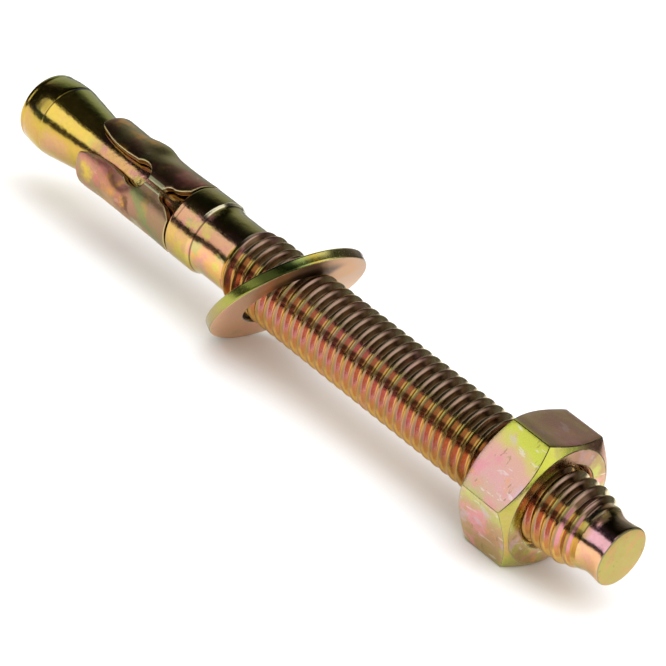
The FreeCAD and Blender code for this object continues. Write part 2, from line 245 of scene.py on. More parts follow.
# Object coordinates as millimetres in the stud's own frame
def studPoint(tree):
    back = studTurn.inverted()
    scale = 1 / studLine["mm"]
    place = tree.nodes.new("ShaderNodeMapping")
    tree.links.new(tree.nodes.new("ShaderNodeTexCoord").outputs["Object"], place.inputs["Vector"])
    place.inputs["Scale"].default_value = (scale, scale, scale)
    place.inputs["Rotation"].default_value = back.to_euler()
    place.inputs["Location"].default_value = -(back @ studStart) * scale
    return place.outputs[0]


def separate(tree, vector):
    made = tree.nodes.new("ShaderNodeSeparateXYZ")
    tree.links.new(vector, made.inputs[0])
    return made.outputs


# Angle round the stud: 0 faces the viewer, less is above, more is below
def turnAngle(tree, point):
    across = separate(tree, point)
    parts = []
    for side in (lowSide, viewSide):
        parts.append(maths(tree, "ADD", maths(tree, "MULTIPLY", across[1], side.y),
                           maths(tree, "MULTIPLY", across[2], side.z)))
    return maths(tree, "ARCTAN2", parts[0], parts[1])


# What all the finishes share
film = {
    "wanderScale": 0.25,
    "wanderDetail": 2.0,
    "patchDetail": 3.0,
    "patchRoughness": 0.55,
    "looseScale": 0.9,
    "looseDetail": 4.0,
    "grainDetail": 5.0,
    "grainRoughness": 0.65,
    "swellDetail": 2.0,
    "shadeSpan": (0.25, 0.75),
    "roughSpan": (0.3, 0.7),
    "bumpDistance": 0.00001,
}


def patchSpread(tree, point, patch):
    inputs = {0: point, 1: patch.get("stretch", (1, 1, 1)), 2: (patch["shift"],) * 3}
    moved = addNode(tree, "VectorMath", inputs, operation="MULTIPLY_ADD")
    value = noiseAt(tree, moved, patch["scale"], film["patchDetail"], film["patchRoughness"])
    return rangeOf(tree, value, patch["low"], patch["high"], 0.0, patch["amount"])


def bandStops(bands):
    return [((angle + 180) / 360, colour) for angle, colour in bands]


# Place in the thread's pitch, from 0 to 1: the crest is at a quarter, then come the flank towards the nut,
# the root and the other flank
def pitchShare(tree, point, angle):
    start = -stud["crestStation"] / stud["pitch"] - stud["viewTurn"] + stud["crestShare"]
    turns = maths(tree, "MULTIPLY_ADD", separate(tree, point)[0], 1 / stud["pitch"], start)
    return maths(tree, "FRACT", maths(tree, "SUBTRACT", turns, maths(tree, "MULTIPLY", angle, 1 / 360)))


# Another colour over a stretch of the stud's length, of the turn round it, of the reach from its axis
# or of the thread's pitch. Each stretch begins, is full, starts to fade and ends.
def colourStep(tree, step, colour, point):
    if "loose" in step:
        stir = noiseAt(tree, point, film["looseScale"], film["looseDetail"]).node.outputs["Color"]
        inputs = {0: stir, 1: (step["loose"],) * 3, 2: point}
        point = addNode(tree, "VectorMath", inputs, operation="MULTIPLY_ADD")
        point = addNode(tree, "VectorMath", {0: point, 1: (step["loose"] / 2,) * 3}, operation="SUBTRACT")
    angle = maths(tree, "MULTIPLY", turnAngle(tree, point), 180 / math.pi)
    parts = separate(tree, point)
    places = []
    if "length" in step:
        slanted = maths(tree, "SUBTRACT", parts[0], maths(tree, "MULTIPLY", angle, step.get("slant", 0.0)))
        places.append(("length", slanted))
    if "turn" in step:
        places.append(("turn", angle))
    if "reach" in step:
        flat = addNode(tree, "CombineXYZ", {1: parts[1], 2: parts[2]})
        places.append(("reach", lengthOf(tree, flat)))
    if "pitch" in step:
        places.append(("pitch", pitchShare(tree, point, angle)))
    near = step["amount"]
    for key, place in places:
        begin, full, fade, end = step[key]
        near = maths(tree, "MULTIPLY", near, rangeOf(tree, place, begin, full, 0.0, 1.0))
        near = maths(tree, "MULTIPLY", near, rangeOf(tree, place, fade, end, 1.0, 0.0))
    return mixColour(tree, near, colour, step["colour"])


# Zinc with a chromate film: bands of colour round the stud by the side towards the viewer, holding the
# film's colours and painted reflections, patches of other colours on them, and stretches under and over the
# patches that hold film colours, painted highlights and painted shade
def chromate(name, finish):
    material, tree = newMaterial(name)
    point = studPoint(tree)
    share = maths(tree, "ADD", maths(tree, "MULTIPLY", turnAngle(tree, point), 0.5 / math.pi), 0.5)
    wander = noiseAt(tree, point, film["wanderScale"], film["wanderDetail"])
    wander = maths(tree, "MULTIPLY", maths(tree, "SUBTRACT", wander, 0.5), finish["wander"])
    colour = colourRamp(tree, maths(tree, "ADD", share, wander), bandStops(finish["bands"]))
    for step in finish.get("under", []):
        colour = colourStep(tree, step, colour, point)
    for patch in finish["patches"]:
        colour = mixColour(tree, patchSpread(tree, point, patch), colour, patch["colour"])
    for step in finish.get("over", []):
        colour = colourStep(tree, step, colour, point)
    grain = noiseAt(tree, point, finish["grainScale"], film["grainDetail"], film["grainRoughness"])
    shade = rangeOf(tree, grain, *film["shadeSpan"], 1 - finish["grain"], 1 + finish["grain"])
    shade = addNode(tree, "CombineColor", {0: shade, 1: shade, 2: shade})
    colour = mixColour(tree, 1.0, colour, shade, "MULTIPLY")
    rough = rangeOf(tree, grain, *film["roughSpan"], *finish["rough"])
    swell = noiseAt(tree, point, finish["swellScale"], film["swellDetail"])
    height = maths(tree, "ADD", maths(tree, "MULTIPLY", swell, finish["swell"]),
                   maths(tree, "MULTIPLY", grain, finish["pitting"]))
    bump = addNode(tree, "Bump", {"Height": height, "Strength": 1.0, "Distance": film["bumpDistance"]})
    shader = addNode(tree, "BsdfPrincipled", {"Metallic": 1.0, "Base Color": colour, "Roughness": rough,
                                              "Normal": bump})
    tree.links.new(shader, tree.nodes.new("ShaderNodeOutputMaterial").inputs[0])
    return material


# Finishes: film colours with painted highlights, painted shade and painted reflections among them. Turns are
# degrees from the viewer's side:
# minus is above, plus is below. Lengths are millimetres from the face of the cone.
turnedFinish = {
    # Bands by the side towards the viewer: the film's colour with painted reflections, olive above, a peach
    # painted highlight facing the viewer and gold below
    "bands": [(-180, "#D3A562"), (-130, "#B9AE62"), (-90, "#A6A65C"), (-60, "#A8A04E"), (-30, "#B08A4A"),
              (-8, "#E6B48C"), (10, "#DDA27E"), (32, "#EAB07A"), (50, "#E2B062"), (66, "#D6BA5E"),
              (95, "#D2BC62"), (140, "#CFAA66"), (180, "#D3A562")],
    "wander": 0.05,
    "patches": [
        {"scale": 0.34, "low": 0.48, "high": 0.62, "amount": 0.65, "colour": "#E0949C", "shift": 3.0},
        {"scale": 0.30, "low": 0.50, "high": 0.64, "amount": 0.65, "colour": "#D2CC5C", "shift": 17.0},
        {"scale": 0.45, "low": 0.56, "high": 0.68, "amount": 0.60, "colour": "#A8BC78", "shift": 37.0},
    ],
    "under": [
        {"length": (-2.0, -1.0, 9.5, 13.5), "amount": 0.75, "colour": "#E4C35A"},
        {"length": (12.0, 15.0, 28.0, 29.4), "amount": 0.45, "colour": "#EBC060"},
    ],
    "over": [
        # Painted reflections on the cone: duller gold underneath, a dimmer highlight on the land and olive
        # along the upper side
        {"length": (-2.0, -1.0, 11.5, 14.5), "turn": (14, 24, 100, 130), "amount": 0.78,
         "colour": "#B89840"},
        {"length": (-2.0, -1.0, 4.2, 4.6), "turn": (-75, -62, 4, 14), "amount": 0.85, "colour": "#BCA648"},
        {"length": (-2.0, -1.0, 12.5, 15.0), "turn": (-180, -170, -42, -26), "amount": 0.92,
         "colour": "#9CA250"},
        # A pink patch of the film on the taper
        {"length": (4.5, 6.0, 8.5, 10.5), "turn": (26, 38, 56, 72), "loose": 2.0, "amount": 0.5,
         "colour": "#CC947E"},
        # Painted shade over the highlight of the groove at the end of the land, then a painted golden
        # highlight along the taper
        {"length": (4.1, 4.28, 4.66, 4.84), "turn": (-110, -95, -27, -20), "amount": 1.0,
         "colour": "#120F06"},
        {"length": (4.2, 4.8, 11.0, 14.0), "turn": (-50, -30, 12, 20), "amount": 0.8, "colour": "#FADA64"},
        # Painted reflections on the collar and shank: yellow underneath and olive above
        {"length": (29.0, 29.5, 33.2, 33.7), "turn": (14, 24, 80, 110), "amount": 0.55, "colour": "#B4A444"},
        {"length": (28.5, 29.5, 39.0, 40.0), "turn": (-180, -170, -30, -18), "amount": 0.85,
         "colour": "#8E8A4C"},
        # A thin painted dark line across the collar's highlight, a painted bright crescent and a pale
        # painted highlight on the collar's step, and a painted dark ring below the step
        {"length": (30.1, 30.2, 30.3, 30.4), "turn": (-30, -20, 10, 15), "amount": 0.5, "colour": "#7A5844"},
        {"length": (33.18, 33.26, 33.6, 33.68), "turn": (-130, -110, -18, -8), "amount": 0.95,
         "colour": "#FFF6D0"},
        {"length": (33.2, 33.3, 33.5, 33.6), "turn": (-18, -8, 110, 130), "amount": 0.4,
         "colour": "#D8C27C"},
        {"length": (33.66, 33.74, 33.86, 33.96), "amount": 0.75, "colour": "#5C4C34"},
        # Painted light on the point: a pink highlight facing the viewer, olive-brown above, a dark band of
        # painted shade and pinkish tan below
        {"length": (98.6, 99.4, 103.0, 104.0), "turn": (-28, -16, 12, 20), "amount": 0.85,
         "colour": "#F4B6C6"},
        {"length": (98.6, 99.4, 103.0, 104.0), "turn": (-180, -170, -30, -18), "amount": 0.7,
         "colour": "#A08458"},
        {"length": (98.4, 99.0, 103.0, 104.0), "turn": (-70, -58, -30, -20), "amount": 0.8,
         "colour": "#46362A"},
        {"length": (98.6, 99.4, 103.0, 104.0), "turn": (14, 24, 70, 100), "amount": 0.6,
         "colour": "#E2AE88"},
    ],
    "grainScale": 1.9,
    "grain": 0.06,
    "rough": (0.12, 0.20),
    "swellScale": 0.8,
    "swell": 3.2,
    "pitting": 1.3,
}
threadFinish = {
    # Bands by the side towards the viewer: the film's colour with painted reflections, pale near the upper
    # edge, brown above, olive-gold facing the viewer and gold below
    "bands": [(-180, "#D2A460"), (-95, "#EAD8A4"), (-76, "#DCC890"), (-62, "#94724A"), (-48, "#8A6A44"),
              (-38, "#B0A080"), (-16, "#A89876"), (-6, "#C0B45C"), (8, "#A08C48"), (22, "#C08C44"),
              (44, "#B28038"), (54, "#B48C44"), (62, "#DCB45C"), (78, "#ECC468"), (130, "#DCB468"),
              (180, "#D2A460")],
    "wander": 0.02,
    "patches": [
        {"scale": 0.34, "low": 0.50, "high": 0.66, "amount": 0.2, "colour": "#E0A468", "shift": 5.0},
        {"scale": 0.26, "low": 0.52, "high": 0.68, "amount": 0.35, "colour": "#D0889A", "shift": 19.0},
    ],
    "over": [
        # Crests, flanks and roots take colours by side: painted rose highlights on the flanks facing the
        # viewer, painted shade in the roots and along the crests, pale painted streaks on the upper
        # shoulders, and a painted dark line along the thread just below the highlight
        {"pitch": (0.40, 0.46, 0.60, 0.70), "turn": (-18, -8, 48, 68), "amount": 0.9, "colour": "#D68E96"},
        {"pitch": (0.42, 0.47, 0.60, 0.70), "turn": (44, 56, 70, 82), "amount": 0.75, "colour": "#CC8450"},
        {"length": (50.0, 54.0, 68.0, 76.0), "pitch": (0.42, 0.46, 0.60, 0.68), "turn": (-14, -8, 2, 6),
         "amount": 0.8, "colour": "#DC84A4"},
        {"pitch": (0.42, 0.47, 0.66, 0.74), "turn": (-58, -48, -20, -12), "amount": 0.8,
         "colour": "#6A4C34"},
        {"pitch": (0.66, 0.70, 0.80, 0.84), "turn": (-14, -6, 46, 60), "amount": 0.8, "colour": "#C49A40"},
        {"pitch": (0.30, 0.35, 0.41, 0.46), "turn": (-62, -50, -22, -10), "amount": 0.8,
         "colour": "#C8A090"},
        {"pitch": (0.31, 0.35, 0.41, 0.45), "turn": (-22, -10, 46, 60), "amount": 0.85, "colour": "#968060"},
        {"pitch": (0.12, 0.16, 0.21, 0.24), "turn": (-46, -36, 40, 56), "amount": 0.8, "colour": "#5C5434"},
        {"pitch": (0.16, 0.22, 0.34, 0.40), "turn": (50, 62, 90, 110), "amount": 0.7, "colour": "#B08464"},
        {"turn": (4, 8, 11, 15), "amount": 0.6, "colour": "#4A3416"},
    ],
    "grainScale": 3.0,
    "grain": 0.07,
    "rough": (0.14, 0.24),
    "swellScale": 0.8,
    "swell": 0.6,
    "pitting": 0.3,
}
shearedFinish = {
    "bands": [(-180, "#BEA860"), (0, "#B8A05A"), (180, "#BEA860")],
    "wander": 0.05,
    "patches": [
        {"scale": 0.40, "low": 0.48, "high": 0.62, "amount": 0.45, "colour": "#B4B458", "shift": 9.0},
        {"scale": 0.55, "low": 0.54, "high": 0.66, "amount": 0.45, "colour": "#D29C66", "shift": 15.0},
        {"scale": 2.2, "low": 0.66, "high": 0.69, "amount": 0.55, "colour": "#8E7442", "shift": 27.0},
    ],
    "grainScale": 4.0,
    "grain": 0.06,
    "rough": (0.38, 0.50),
    "swellScale": 1.2,
    "swell": 1.5,
    "pitting": 1.2,
}
clipFinish = {
    # Bands by side: the film's colour with painted reflections, darker brown above and rosy below
    "bands": [(-180, "#B98A5E"), (-90, "#9A9054"), (-55, "#906E4C"), (-25, "#806048"), (0, "#A67868"),
              (30, "#AE7664"), (60, "#B27C5C"), (85, "#B49256"), (120, "#B9975A"), (180, "#B98A5E")],
    "wander": 0.10,
    "patches": [
        {"scale": 0.20, "low": 0.50, "high": 0.60, "amount": 0.45, "colour": "#98A062", "shift": 2.0},
        {"scale": 0.30, "low": 0.54, "high": 0.66, "amount": 0.75, "colour": "#D4A048", "shift": 11.0},
        {"scale": 0.26, "low": 0.54, "high": 0.70, "amount": 0.6, "colour": "#CE7A74", "shift": 23.0},
        {"scale": 0.7, "low": 0.54, "high": 0.66, "amount": 0.35, "colour": "#A88A50", "shift": 43.0},
        {"scale": 0.8, "low": 0.60, "high": 0.70, "amount": 0.35, "colour": "#DCB0A0", "shift": 59.0},
    ],
    "over": [
        {"length": (21.0, 23.0, 29.4, 30.0), "turn": (-6, 12, 84, 104), "loose": 2.0, "amount": 0.5,
         "colour": "#86825A"},
        {"length": (20.6, 21.4, 22.6, 23.4), "turn": (4, 14, 76, 96), "slant": 0.064, "loose": 2.4,
         "amount": 0.78, "colour": "#848E58"},
        # Painted reflection: olive along the upper side
        {"turn": (-112, -96, -80, -62), "amount": 0.6, "colour": "#8C8C4C"},
        # Painted shade on one slope of the lower bump, and a pale painted highlight beside it
        {"length": (20.9, 21.5, 21.9, 22.5), "turn": (34, 46, 56, 70), "loose": 2.6, "amount": 0.8,
         "colour": "#5E4430"},
        {"length": (22.4, 23.2, 23.8, 24.6), "turn": (58, 72, 84, 98), "loose": 2.6, "amount": 0.7,
         "colour": "#D2D2AC"},
        # Rose and yellow patches of the film near the front of the clip
        {"length": (12.0, 12.8, 14.6, 15.8), "turn": (14, 20, 30, 44), "loose": 2.6, "amount": 0.6,
         "colour": "#D08078"},
        {"length": (12.9, 13.8, 14.2, 15.2), "turn": (26, 44, 54, 70), "loose": 2.8, "amount": 0.8,
         "colour": "#DDBE48"},
        {"length": (16.6, 17.6, 19.4, 20.4), "turn": (30, 45, 70, 88), "loose": 3.0, "amount": 0.6,
         "colour": "#D29448"},
    ],
    "grainScale": 3.0,
    "grain": 0.05,
    "rough": (0.28, 0.36),
    "swellScale": 0.45,
    "swell": 6.0,
    "pitting": 1.2,
}
# A painted highlight on the clip's rounded edges, painted shade on its cut walls, and a painted highlight on
# the strip's two ends at the seam
cutFinish = dict(clipFinish, bands=[(-180, "#D8C890"), (0, "#E4D6A4"), (180, "#D8C890")],
                 patches=[], over=[], rough=(0.5, 0.6))
wallFinish = dict(clipFinish, bands=[(-180, "#8E6E40"), (0, "#94703E"), (180, "#8E6E40")],
                  patches=[], over=[])
seamFinish = dict(cutFinish, bands=[(-180, "#D6D2A6"), (0, "#DAD6AA"), (180, "#D6D2A6")], rough=(0.42, 0.5))
washerFinish = {
    "bands": [(-180, "#E8C4A0"), (-60, "#D8AE8C"), (20, "#F0C8A6"), (90, "#E8C09A"), (180, "#E8C4A0")],
    "wander": 0.10,
    "patches": [
        {"scale": 0.22, "low": 0.50, "high": 0.68, "amount": 0.45, "colour": "#E8B8A4", "shift": 7.0},
        {"scale": 0.26, "low": 0.56, "high": 0.70, "amount": 0.45, "colour": "#B9BC8A", "shift": 31.0},
    ],
    "over": [
        # Painted shade on the face: its upper part darker, a warmer brown round the top of the bore, and
        # dark brown beside the thread there
        {"length": (44.5, 50.0, 60.0, 61.0), "amount": 0.85, "colour": "#B8967A"},
        {"turn": (-125, -110, -60, -40), "reach": (4.0, 5.0, 7.2, 8.6), "amount": 0.7, "colour": "#C8945C"},
        {"turn": (-88, -72, -15, 25), "reach": (0.0, 0.1, 5.8, 7.6), "amount": 0.9, "colour": "#583A20"},
    ],
    "grainScale": 3.2,
    "grain": 0.06,
    "rough": (0.38, 0.46),
    "swellScale": 0.6,
    "swell": 1.2,
    "pitting": 0.5,
}
# The rim's bands by side: the film's olive and yellow with painted reflections, a bright yellow-lime painted
# highlight above the viewer's side and dark green facing the viewer
rimFinish = dict(
    washerFinish,
    bands=[(-180, "#8C7C4E"), (-110, "#8A7058"), (-68, "#A08C60"), (-58, "#D4CC80"), (-46, "#F2E88C"),
           (-36, "#F0D25C"), (-28, "#BCCC74"), (-20, "#3C4A24"), (-8, "#3C421C"), (2, "#484E22"),
           (12, "#868C40"), (28, "#9C9C4A"), (46, "#A49460"), (100, "#948A58"), (180, "#8C7C4E")],
    wander=0.02, patches=[], over=[], rough=(0.18, 0.28))
# The bore's wall painted dark brown for the shade inside the hole
boreFinish = dict(rimFinish, bands=[(-180, "#5A4A30"), (0, "#5E4E34"), (180, "#5A4A30")])
nutFinish = {
    # Bands by side: the film's colours with painted reflections, lime and pink facing the viewer and duller
    # above
    "bands": [(-180, "#DDB080"), (-90, "#A8905A"), (-60, "#A8805E"), (-32, "#CFD058"), (-20, "#D6DC5C"),
              (-6, "#E8B8A4"), (15, "#E8B4B0"), (32, "#C8C080"), (60, "#CCA078"), (90, "#BCA468"),
              (180, "#DDB080")],
    "wander": 0.10,
    "patches": [
        {"scale": 0.20, "low": 0.50, "high": 0.62, "amount": 0.75, "colour": "#F0A0AA", "shift": 4.0},
        {"scale": 0.22, "low": 0.52, "high": 0.64, "amount": 0.60, "colour": "#C4D260", "shift": 13.0},
        {"scale": 0.30, "low": 0.56, "high": 0.68, "amount": 0.55, "colour": "#DCC4D2", "shift": 29.0},
        {"scale": 0.34, "low": 0.58, "high": 0.70, "amount": 0.60, "colour": "#EEB070", "shift": 41.0},
        {"scale": 0.9, "low": 0.62, "high": 0.67, "amount": 0.42, "colour": "#F6F2EC", "shift": 53.0,
         "stretch": (0.5, 0.7, 1.9)},
        {"scale": 1.1, "low": 0.65, "high": 0.69, "amount": 0.45, "colour": "#8E8450", "shift": 67.0,
         "stretch": (1.4, 0.6, 0.6)},
    ],
    "over": [
        # Painted reflection on the upper flat: browner, and darker towards its edge with the front flat
        {"turn": (-92, -88, -34, -30), "amount": 0.75, "colour": "#946A54"},
        {"turn": (-46, -36, -33, -30), "amount": 0.5, "colour": "#6E5232"},
    ],
    "grainScale": 2.4,
    "grain": 0.06,
    "rough": (0.18, 0.28),
    "swellScale": 0.5,
    "swell": 2.0,
    "pitting": 0.9,
}
# The chamfer's bands by side: the film's colours with a bright yellow painted highlight above the front
chamferFinish = dict(
    nutFinish,
    bands=[(-180, "#D8A880"), (-100, "#B88464"), (-72, "#C09070"), (-54, "#EEEE7C"), (-20, "#F6F664"),
           (2, "#CCCC58"), (22, "#AEA452"), (48, "#C4B464"), (64, "#DCB45C"), (84, "#BEC05E"),
           (120, "#D0A878"), (180, "#D8A880")],
    wander=0.03, over=[],
    patches=[{"scale": 0.30, "low": 0.50, "high": 0.66, "amount": 0.4, "colour": "#D8B090", "shift": 29.0}])
# Dark lines along the nut's bevelled edges, with painted shade making them darker on the upper side
edgeFinish = dict(
    nutFinish,
    bands=[(-180, "#7E7450"), (-100, "#5E5236"), (15, "#62563A"), (40, "#A6A06C"), (90, "#B4AC78"),
           (180, "#7E7450")],
    over=[], rough=(0.35, 0.45),
    patches=[{"scale": 1.2, "low": 0.50, "high": 0.60, "amount": 0.7, "colour": "#B0A66C", "shift": 71.0}])
endEdgeFinish = dict(edgeFinish, bands=[(-180, "#B4AE8C"), (0, "#A8A27C"), (180, "#B4AE8C")], patches=[],
                     rough=(0.55, 0.65))


# Faces take these by their place in the list
def addMaterials(piece, **finishes):
    for name, finish in finishes.items():
        piece.data.materials.append(chromate(name, finish))


# Stud: the thread is a screw of one turn's outline, and the rest grows from its two ends
stud = {
    "pitch": 1.5,
    "crestStation": 0.857,      # a crest above the axis lies here, and one pitch further each turn
    "crestShare": 0.25,
    "viewTurn": 1 / 6,          # from above the axis to the viewer's side
    "firstTurn": 23,
    "turns": 44,
    "steps": 80,
    "crest": 4.925,
    "root": 4.08,
    "outline": [(0, 1.0), (0.085, 0.985), (0.15, 0.92), (0.36, 0.50), (0.57, 0.08), (0.65, 0.015), (0.75, 0),
                (0.85, 0.015), (0.93, 0.08), (1.14, 0.50), (1.35, 0.92), (1.415, 0.985), (1.5, 1.0)],
    "crestLine": [(39.2, 4.4), (39.7, 4.62), (40.3, 4.88), (41.0, 4.925), (95.3, 4.925), (96.0, 4.82),
                  (97.2, 4.42), (98.3, 4.02), (98.9, 3.76), (99.2, 3.64)],
    "rootLine": [(39.2, 4.4), (40.6, 4.16), (41.6, 4.08), (96.8, 4.08), (97.6, 4.02), (98.2, 3.93),
                 (98.9, 3.74), (99.2, 3.64)],
    "threadFrom": 38.4,
    "threadTo": 99.2,
    "threadColour": (39.3, 98.6),
    "coneFaceTo": 0.02,
    "endEdgeFrom": 101.86,
    "endFaceFrom": 101.985,
    "smoothAngle": 32,
}
stud["shank"] = [(38.4, 4.4), (35.2, 4.4), (34.8, 4.41), (34.4, 4.455), (33.85, 4.59), (33.75, 4.62),
                 (33.36, 4.86), (33.3, 4.885), (33.22, 4.9), (29.75, 4.9)]
stud["collarEdge"] = arcPoints((29.7, 4.6), 0.3, 90, 180, 5)
stud["neck"] = [(29.4, 3.9), (29.32, 3.72), (29.1, 3.65), (20.0, 3.65), (13.0, 3.65), (12.4, 3.675),
                (11.8, 3.75), (4.75, 4.86), (4.52, 4.885), (4.44, 4.865), (4.36, 4.90), (3.6, 4.925),
                (3.0, 4.92), (2.4, 4.89), (1.9, 4.84), (1.5, 4.78), (1.15, 4.70)]
stud["coneEdge"] = arcPoints((0.86, 3.85), 0.86, 76, 178, 9)
stud["coneFace"] = [(0.0, 3.5), (0.0, 1.5), (0.0, 0.3)]
stud["point"] = [(99.2, 3.64), (99.5, 3.565), (99.9, 3.555), (100.4, 3.58), (101.0, 3.64), (101.5, 3.71),
                 (101.7, 3.73), (101.86, 3.70), (101.97, 3.60), (102.0, 3.48), (102.0, 2.4), (102.0, 1.0),
                 (102.0, 0.3)]


def makeStud():
    first = stud["crestStation"] + stud["firstTurn"] * stud["pitch"]
    depth = stud["crest"] - stud["root"]
    outline = [(first + x, 0, stud["root"] + share * depth) for x, share in stud["outline"]]
    piece = drawLine("threadedStud", outline)
    bpy.ops.object.modifier_add(type="SCREW")
    screw = piece.modifiers[-1]
    screw.axis = "X"
    screw.screw_offset = stud["pitch"]
    screw.iterations = stud["turns"]
    screw.steps = stud["steps"]
    screw.render_steps = stud["steps"]
    bpy.ops.object.modifier_apply(modifier=screw.name)
    editAll()
    bpy.ops.mesh.remove_doubles(threshold=studLine["weld"])
    leaveEdit()

    # The turns swell out of the shank and fade on the point
    for vertex in piece.data.vertices:
        place = vertex.co
        radius = math.hypot(place.y, place.z)
        share = (radius - stud["root"]) / depth
        low = between(stud["rootLine"], place.x)
        high = between(stud["crestLine"], place.x)
        scale = (low + share * (max(high, low) - low)) / radius
        place.y *= scale
        place.z *= scale

    editAll()
    bpy.ops.mesh.bisect(plane_co=(stud["threadTo"], 0, 0), plane_no=(1, 0, 0), clear_outer=True)
    growRings(stud["point"])
    bpy.ops.mesh.merge(type="CENTER")
    bpy.ops.mesh.select_all(action="SELECT")
    bpy.ops.mesh.bisect(plane_co=(stud["threadFrom"], 0, 0), plane_no=(1, 0, 0), clear_inner=True)
    growRings(stud["shank"] + stud["collarEdge"] + stud["neck"] + stud["coneEdge"] + stud["coneFace"])
    bpy.ops.mesh.merge(type="CENTER")
    leaveEdit()

    addMaterials(piece, turnedChromate=turnedFinish, threadChromate=threadFinish,
                 shearedChromate=shearedFinish, endEdgeChromate=endEdgeFinish)
    begin, end = stud["threadColour"]
    for face in piece.data.polygons:
        place = face.center.x
        face.material_index = 1 if begin < place < end else 0
        if place < stud["coneFaceTo"] or place > stud["endFaceFrom"]:
            face.material_index = 2
        elif place > stud["endEdgeFrom"]:
            face.material_index = 3
    finishPiece(piece, "stud", "anchor_stud", stud["smoothAngle"])


# Clip: a flat blank, cut from strip, then wrapped round the neck. Lengths are from its rear edge,
# and widths are taken on the outside.
clip = {
    "rear": 29.15,
    "length": 17.15,
    "thickness": 0.9,
    "inside": 3.9,
    "roll": 55.7,
    "segments": 3,
    "seam": 0.5,
    "seamBright": 0.36,
    "seamFrom": 2.95,
    "seamTo": 6.35,
    "lobeSlot": [(0, 2.35), (0.35, 2.02), (0.8, 1.62), (1.2, 1.35), (1.6, 1.18), (2.0, 1.12)],
    "lobeEnd": 3.15,
    "lobeRound": 1.15,
    "lobeArc": (10, 90, 6),
    "bulbFrom": 5.95,
    "bulbRound": 1.9,
    "bulbArc": (42, -90, 12),
    "tongueSlot": [(10.2, 1.36), (11.2, 1.26), (12.4, 1.26), (13.6, 1.34), (14.6, 1.50), (15.4, 1.72),
                   (16.1, 1.90), (16.6, 2.06), (16.9, 2.24), (17.08, 2.48), (17.15, 2.8)],
    "weld": 0.002,
    "gridAcross": 0.30,
    "gridAlong": 0.45,
    "edgeRound": 0.14,
    "edgeSegments": 3,
    "flatNormal": 0.75,         # the normal is more upright than this on the faces of the strip
    "edgeNormal": 0.1,          # and less than this on its cut walls, with the worn edges between
    "bumpMiddle": 9.15,
    "bumpFront": 4.2,
    "bumpRear": 2.3,
    "bumpSide": 2.8,
    "bumpHeight": 0.55,
    "bumpTurn": 12,
    "flare": 0.10,
    "flareLength": 4.0,
    "tipLift": 0.10,
    "tipLength": 4.5,
    "unevenness": 0.05,
    "unevenScale": 0.35,
    "unevenShift": 4.0,
    "smoothAngle": 35,
}


def slotSide(points, at, side, gap=0.0):
    return [(-depth, at + side * max(width, gap), 0) for width, depth in points]


